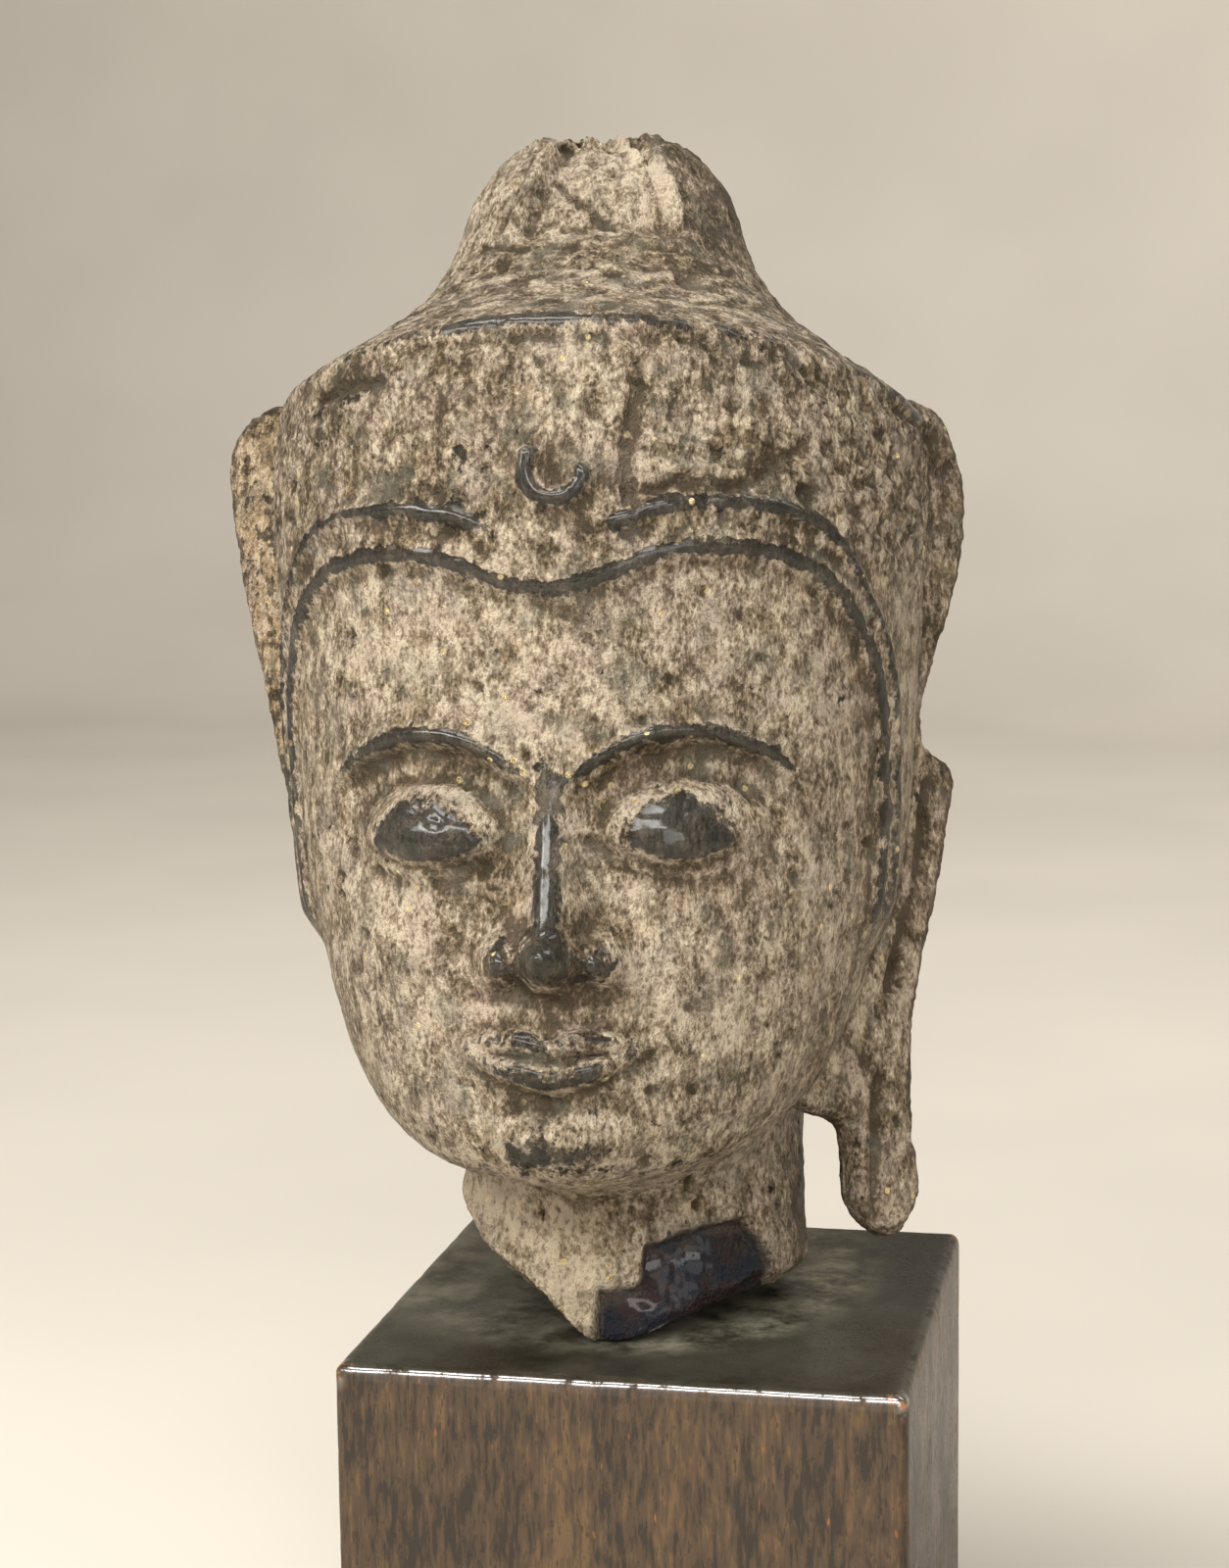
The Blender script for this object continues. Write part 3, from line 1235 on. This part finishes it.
    height = nodes.math("ADD", mottle, nodes.math("MULTIPLY", grain, 0.7))
    crackled = nodes.math("MULTIPLY", crackle, nodes.scaled(granular, 0.3, 0.5))
    height = nodes.math("SUBTRACT", height, nodes.math("MULTIPLY", crackled, 0.5))
    height = nodes.math("ADD", height, nodes.math("MULTIPLY", flake, 1.5))
    height = nodes.math("SUBTRACT", height, nodes.math("MULTIPLY", bare, 0.35))
    smoothed = nodes.math("SUBTRACT", 1.0, nodes.math("MULTIPLY", polished, 0.7))
    height = nodes.math("MULTIPLY", height, smoothed)
    bump = nodes.add("ShaderNodeBump", {"Height": height, "Strength": 1.0, "Distance": 1 * MM})
    nodes.tree.links.new(bump.outputs[0], shader.inputs["Normal"])
    return material


def wood_material():
    """Dark stained, semi-gloss wood with upright grain and open pores."""
    block = settings("block_settings")
    material, nodes, shader, where = new_material("stained_wood")
    patches = shared_group("ragged_patches", patches_group)
    dust = shared_group("settled_dust", dust_group)
    dots = shared_group("scattered_dots", dots_group)
    worn = nodes.attribute("worn_edge")
    top = nodes.attribute("top")
    residue = nodes.attribute("residue")

    upright = nodes.add("ShaderNodeMapping", {"Vector": where, "Scale": (1.0, 1.0, 0.12)}).outputs[0]
    short_way = nodes.add("ShaderNodeMapping", {"Vector": where, "Scale": (1.0, 1.0, 0.26)}).outputs[0]
    bands = nodes.noise(upright, 3 * MM, 4.0, 0.6, 0.3)
    fibres = nodes.noise(upright, 0.5 * MM, 4.0, 0.65)
    streaks = nodes.noise(short_way, 0.7 * MM, 4.0, 0.6, 0.3)
    pores = nodes.noise(short_way, 0.35 * MM, 2.0, 0.5)
    cloud = nodes.noise(where, 14 * MM, 3.0, 0.5)
    tone = nodes.math("ADD", nodes.math("MULTIPLY", bands, 0.35), nodes.math("MULTIPLY", streaks, 0.5))
    tone = nodes.math("ADD", tone, nodes.math("MULTIPLY", fibres, 0.55))
    tone = nodes.math("SUBTRACT", tone, nodes.math("MULTIPLY", cloud, 0.3))
    side = nodes.blend(nodes.fade(tone, 0.45, 0.57), colour(block.stain_dark), colour(block.stain_mid))
    side = nodes.blend(nodes.fade(tone, 0.57, 0.7), side, colour(block.stain_light))
    pore = nodes.fade(pores, 0.6, 0.7)
    side = nodes.blend(nodes.math("MULTIPLY", pore, 0.7), side, colour(block.stain_dark))
    dashes = nodes.noise(short_way, 0.8 * MM, 1.0, 0.5)
    dash = nodes.math("MULTIPLY", nodes.fade(dashes, 0.74, 0.8), 0.7)
    side = nodes.blend(dash, side, colour(block.bare_wood))
    upper = nodes.blend(nodes.fade(cloud, 0.35, 0.7), colour(block.top), colour(block.top_worn))
    skin = nodes.blend(top, side, upper)
    worn_share = nodes.math("MULTIPLY", worn, 0.6)
    edge_wear = nodes.group(
        patches, {"Vector": where, "Size": 1.6 * MM, "Share": worn_share, "Softness": 0.03}
    )["Mask"]
    edge_wear = nodes.math("MULTIPLY", edge_wear, nodes.fade(worn, 0.45, 0.95))
    skin = nodes.blend(edge_wear, skin, colour(block.bare_wood))
    grey = nodes.group(dust, {"Vector": where, "Size": 5 * MM, "Amount": 1.15, "Where": residue})["Mask"]
    skin = nodes.blend(grey, skin, colour(block.haze))
    film = nodes.group(dust, {"Vector": where, "Size": 16 * MM, "Amount": 0.16, "Where": top})["Mask"]
    skin = nodes.blend(film, skin, colour(block.film))
    speck = nodes.group(
        dots,
        {
            "Vector": where,
            "Size": 3.5 * MM,
            "Rarity": 0.78,
            "Spread": 0.02,
            "Radius": 0.04,
            "Softness": 0.03,
        },
    )["Mask"]
    skin = nodes.blend(nodes.math("MULTIPLY", speck, top), skin, colour(block.specks))
    nodes.tree.links.new(skin, shader.inputs["Base Color"])

    smear = nodes.noise(where, 7 * MM, 5.0, 0.65)
    roughness = nodes.add("ShaderNodeMapRange", {"Value": smear, "To Min": 0.16, "To Max": 0.4}).outputs[0]
    roughness = nodes.math("ADD", roughness, nodes.math("MULTIPLY", pore, 0.2))
    roughness = nodes.math("ADD", roughness, nodes.math("MULTIPLY", grey, 0.5), clamp=True)
    nodes.tree.links.new(roughness, shader.inputs["Roughness"])
    shader.inputs["IOR"].default_value = 1.3
    shader.inputs["Specular IOR Level"].default_value = 0.1
    broken_wax = nodes.fade(nodes.noise(where, 1.5 * MM, 3.0, 0.6), 0.36, 0.5)
    wax = nodes.math("MULTIPLY", nodes.attribute("waxed"), broken_wax)
    nodes.tree.links.new(wax, shader.inputs["Coat Weight"])
    shader.inputs["Coat Roughness"].default_value = 0.17
    shader.inputs["Coat IOR"].default_value = 2.2
    nicks = nodes.math("MULTIPLY", nodes.fade(streaks, 0.55, 0.7), worn)
    height = nodes.math("MULTIPLY", pore, -0.8)
    height = nodes.math("ADD", height, nodes.math("MULTIPLY", fibres, 0.4))
    height = nodes.math("ADD", height, nodes.math("MULTIPLY", smear, 0.25))
    height = nodes.math("SUBTRACT", height, nodes.math("MULTIPLY", nicks, 3.0))
    bump = nodes.add("ShaderNodeBump", {"Height": height, "Strength": 0.4, "Distance": 0.15 * MM})
    nodes.tree.links.new(bump.outputs[0], shader.inputs["Normal"])
    return material


def floor_material():
    """Plain pale floor and wall."""
    stage = settings("stage_settings")
    material, nodes, shader, where = new_material("pale_floor")
    cloud = nodes.noise(where, 120 * MM, 2.0, 0.5)
    base = [channel * 0.94 for channel in stage.floor]
    skin = nodes.blend(nodes.fade(cloud, 0.3, 0.7), colour(base), colour(stage.floor))
    nodes.tree.links.new(skin, shader.inputs["Base Color"])
    shader.inputs["Roughness"].default_value = 0.9
    shader.inputs["Specular IOR Level"].default_value = 0.2
    return material


# Pieces


def add_piece(name, mesh, material):
    """Puts a finished mesh into the scene as a piece of the object."""
    mesh.materials.clear()
    mesh.materials.append(material)
    mesh.polygons.foreach_set("use_smooth", [True] * len(mesh.polygons))
    piece = bpy.data.objects.new(name, mesh)
    bpy.context.scene.collection.objects.link(piece)
    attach(piece, "root")
    return piece


class OBJECT_OT_bronze_head(bpy.types.Operator):
    """Makes the broken bronze head with its corroded surface"""

    bl_idname = "object.bronze_head"
    bl_label = "Bronze Head"
    bl_options = {"REGISTER", "UNDO"}

    def execute(self, context):
        head = settings("head_settings")
        hundredth = head.height / 100
        fine = head.fineness / hundredth
        ear_fine = 1.05 * fine
        ears = [
            remeshed(ear_mesh(LEFT_EAR, LEFT_SWEEP, 1), ear_fine),
            remeshed(ear_mesh(RIGHT_EAR, RIGHT_SWEEP, -1), ear_fine),
        ]
        mesh = united(head_skin(fine), *ears)
        points, normals = mesh_vectors(mesh, "co"), mesh_vectors(mesh, "normal")
        surface = Surface(points, normals)
        relief, granular, flaky, knot_crest = surface_relief(
            surface, head.crust_depth / hundredth, head.pit_depth / hundredth
        )
        points = points + normals * relief[:, None]
        matrix = np.array(stand_matrix(head))
        placed = points @ matrix[:3, :3].T + matrix[:3, 3]
        placed[:, 2] = np.maximum(placed[:, 2], BLOCK_HEIGHT + HEAD_GAP)
        mesh.vertices.foreach_set("co", placed.ravel())
        mesh.update()
        bulge = neighbour_convexity(mesh, placed, mesh_vectors(mesh, "normal")) / hundredth
        paint_head(mesh, surface, bulge, granular, flaky, knot_crest)
        piece = add_piece("corroded_bronze_head", mesh, bronze_material())
        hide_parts("buddha_head")
        return {"FINISHED"}


def rounded_block(side, height, edge):
    """A closed block with small rounded edges and faces fine enough for dents."""
    flat_steps, edge_steps = 44, 4
    reach = 1.5 * edge

    def cuts(length):
        inner = np.linspace(reach, length - reach, flat_steps)
        outer = np.linspace(0, reach, edge_steps + 1)[:-1]
        return np.concatenate([outer, inner, length - outer[::-1]])

    wide, high = cuts(side) - side / 2, cuts(height)
    work = bmesh.new()
    for axis in range(3):
        first, second = [wide, wide, high][(axis + 1) % 3], [wide, wide, high][(axis + 2) % 3]
        ends = (0.0, height) if axis == 2 else (-side / 2, side / 2)
        for end in ends:
            grid = []
            for a in first:
                row = []
                for b in second:
                    place = [0.0, 0.0, 0.0]
                    place[axis], place[(axis + 1) % 3], place[(axis + 2) % 3] = end, a, b
                    row.append(work.verts.new(place))
                grid.append(row)
            for i in range(len(first) - 1):
                for j in range(len(second) - 1):
                    work.faces.new((grid[i][j], grid[i + 1][j], grid[i + 1][j + 1], grid[i][j + 1]))
    bmesh.ops.remove_doubles(work, verts=work.verts, dist=1e-6)
    bmesh.ops.recalc_face_normals(work, faces=work.faces)
    low = Vector((edge - side / 2, edge - side / 2, edge))
    top = Vector((side / 2 - edge, side / 2 - edge, height - edge))
    for vert in work.verts:
        core = Vector(min(max(c, a), b) for c, a, b in zip(vert.co, low, top))
        away = vert.co - core
        if away.length > 1e-9 and sum(abs(v) > 1e-9 for v in away) > 1:
            vert.co = core + away.normalized() * edge
    mesh = bpy.data.meshes.new("block")
    work.to_mesh(mesh)
    work.free()
    return mesh


# The haze round the foot of the neck: how far behind the neck its middle is, and its half sides
HAZE_BEHIND = 10 * MM
HAZE_WIDE = 20 * MM
HAZE_LONG = 22 * MM


class OBJECT_OT_wooden_block(bpy.types.Operator):
    """Makes the stained wooden block with its worn edges"""

    bl_idname = "object.wooden_block"
    bl_label = "Wooden Block"
    bl_options = {"REGISTER", "UNDO"}

    def execute(self, context):
        block = settings("block_settings")
        mesh = rounded_block(BLOCK_SIDE, BLOCK_HEIGHT, block.edge)
        points, normals = mesh_vectors(mesh, "co"), mesh_vectors(mesh, "normal")
        half = BLOCK_SIDE / 2
        x, y, z = points.T
        order = np.sort([half - np.abs(x), half - np.abs(y), BLOCK_HEIGHT - z, z], axis=0)
        edge_near = ease((1.3 * block.edge - order[1]) / (0.6 * block.edge))
        corner_near = ease((2.6 * block.edge - order[2]) / (2 * block.edge))
        dents = rough(points / MM, 2.4, 3, 2.0)
        wear = edge_near * (0.05 + 0.09 * clamp01(dents)) * MM
        waves = 0.02 * MM * rough(points / MM, 9.0, 2, 5.0) * (z > 1 * MM)
        points = points - normals * (wear + np.abs(waves))[:, None]
        x, y, z = points.T
        mesh.vertices.foreach_set("co", points.ravel())
        mesh.update()
        paint(mesh, "worn_edge", 0.5 * edge_near + 0.32 * corner_near * edge_near)
        near_top = z > BLOCK_HEIGHT - 2 * block.edge
        near_front = y < 2 * block.edge - half
        paint(mesh, "waxed", edge_near * near_top * np.where(near_front, 1, 0.2))
        paint(mesh, "top", ease((z - BLOCK_HEIGHT + 0.5 * MM) / (0.3 * MM)))
        head = settings("head_settings")
        across, along_neck = x - head.aside, y - head.behind - HAZE_BEHIND
        away = np.hypot(across / HAZE_WIDE, along_neck / HAZE_LONG)
        residue = ease((1.3 - away) / 0.25) * (0.4 + 0.6 * ease(across / (6 * MM)))
        paint(mesh, "residue", residue * (z > BLOCK_HEIGHT - 1 * MM))
        piece = add_piece("worn_wooden_block", mesh, wood_material())
        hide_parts("plinth_block")
        return {"FINISHED"}


# Stage

CAMERA_PLACE = Vector((49.43, -258.47, 82.07)) * MM
CAMERA_AZIMUTH = math.radians(11.8)
CAMERA_RISE = math.radians(7.36)
CAMERA_ROLL = math.radians(-0.69)
SENSOR_HEIGHT = 36

MIDDLE = (0, 0, 0.1)
DAYLIGHT = (1.0, 0.98, 0.95)
TOP_TINT = (1.0, 0.98, 0.96)
WALL_TINT = (1.0, 0.97, 0.93)
ROOM_TINT = (1.0, 0.97, 0.92)
ROOM_STRENGTH = 0.3

# Name, place, target, sides across and up in metres, share of the key light's power, colour
LIGHTS = [
    ("wide_key", (-0.16, -0.62, 0.55), MIDDLE, (1.1, 0.15), 1.0, DAYLIGHT),
    ("left_fill", (-0.5, -0.4, 0.45), MIDDLE, (0.25, 0.25), 0.22, DAYLIGHT),
    ("right_fill", (0.32, -0.62, 0.2), MIDDLE, (0.3, 0.3), 0.15, DAYLIGHT),
    ("top_strip", (-0.14, -0.24, 0.72), MIDDLE, (0.5, 0.14), 0.45, TOP_TINT),
    ("wall_wash", (0.5, 0.3, 0.9), (0.25, 1.1, 0.35), (0.6, 0.6), 1.0, WALL_TINT),
]


def add_camera(lens):
    """A camera where the photograph was taken from, above the block's top by its height."""
    data = bpy.data.cameras.new("camera")
    data.sensor_fit = "VERTICAL"
    data.sensor_height = SENSOR_HEIGHT
    data.lens = lens
    data.clip_start = 0.01
    camera = bpy.data.objects.new("camera", data)
    bpy.context.scene.collection.objects.link(camera)
    place = CAMERA_PLACE + Vector((0, 0, BLOCK_HEIGHT))
    level = Matrix.Rotation(math.pi / 2 - CAMERA_RISE, 4, "X")
    turn = Matrix.Rotation(CAMERA_AZIMUTH, 4, "Z") @ level
    camera.matrix_world = Matrix.Translation(place) @ turn @ Matrix.Rotation(CAMERA_ROLL, 4, "Z")
    bpy.context.scene.camera = camera


def add_light(name, place, target, sides, power, tint):
    """A soft oblong light that looks at a target, its sides given across and up."""
    data = bpy.data.lights.new(name, "AREA")
    data.shape = "RECTANGLE"
    data.size, data.size_y = sides
    data.energy = power
    data.color = tint
    light = bpy.data.objects.new(name, data)
    bpy.context.scene.collection.objects.link(light)
    way = Vector(target) - Vector(place)
    light.location = place
    light.rotation_euler = way.to_track_quat("-Z", "Y").to_euler()


def curved_backdrop():
    """A floor that curves up into a wall behind the object."""
    near, far, bend, high, wide = -1.2, 0.9, 0.35, 1.6, 2.4
    arc = [
        (far + bend * math.sin(t), bend - bend * math.cos(t))
        for t in np.linspace(0, math.pi / 2, 17)
    ]
    path = [(near, 0.0), *arc, (far + bend, high)]
    work = bmesh.new()
    rows = [[work.verts.new((x, y, z)) for x in (-wide, wide)] for y, z in path]
    for here, there in zip(rows[:-1], rows[1:]):
        work.faces.new((here[0], here[1], there[1], there[0]))
    mesh = bpy.data.meshes.new("backdrop")
    work.to_mesh(mesh)
    work.free()
    return mesh


class OBJECT_OT_studio_stage(bpy.types.Operator):
    """Sets up the pale floor, the soft lights and the camera"""

    bl_idname = "object.studio_stage"
    bl_label = "Studio Stage"
    bl_options = {"REGISTER", "UNDO"}

    def execute(self, context):
        stage = settings("stage_settings")
        mesh = curved_backdrop()
        mesh.materials.append(floor_material())
        mesh.polygons.foreach_set("use_smooth", [True] * len(mesh.polygons))
        floor = bpy.data.objects.new("pale_backdrop", mesh)
        context.scene.collection.objects.link(floor)
        for name, place, target, sides, share, tint in LIGHTS:
            add_light(name, place, target, sides, share * stage.key_power, tint)
        world = bpy.data.worlds.new("room")
        world.use_nodes = True
        background = world.node_tree.nodes["Background"]
        background.inputs["Color"].default_value = colour(ROOM_TINT)
        background.inputs["Strength"].default_value = ROOM_STRENGTH
        context.scene.world = world
        context.scene.view_settings.view_transform = "Standard"
        add_camera(stage.lens)
        return {"FINISHED"}


class VIEW3D_PT_bronze_head(bpy.types.Panel):
    """Panel with the pieces and their settings"""

    bl_label = "Bronze Head"
    bl_idname = "VIEW3D_PT_bronze_head"
    bl_space_type = "VIEW_3D"
    bl_region_type = "UI"
    bl_category = "Bronze Head"

    def draw(self, context):
        for operator, names in PIECES:
            box = self.layout.box()
            box.operator(operator)
            for name in names:
                group = getattr(context.scene, name)
                for key in group.__annotations__:
                    box.prop(group, key)


PIECES = [
    ("object.bronze_head", ["head_settings", "bronze_settings"]),
    ("object.wooden_block", ["block_settings"]),
    ("object.studio_stage", ["stage_settings"]),
]
GROUPS = {
    "head_settings": HeadSettings,
    "bronze_settings": BronzeSettings,
    "block_settings": BlockSettings,
    "stage_settings": StageSettings,
}
CLASSES = [
    *GROUPS.values(),
    OBJECT_OT_bronze_head,
    OBJECT_OT_wooden_block,
    OBJECT_OT_studio_stage,
    VIEW3D_PT_bronze_head,
]


def register():
    for cls in CLASSES:
        bpy.utils.register_class(cls)
    for name, group in GROUPS.items():
        setattr(bpy.types.Scene, name, bpy.props.PointerProperty(type=group))


def unregister():
    for name in GROUPS:
        delattr(bpy.types.Scene, name)
    for cls in reversed(CLASSES):
        bpy.utils.unregister_class(cls)


def main():
    register()
    bpy.ops.object.bronze_head()
    bpy.ops.object.wooden_block()
    bpy.ops.object.studio_stage()


if __name__ == "__main__":
    main()
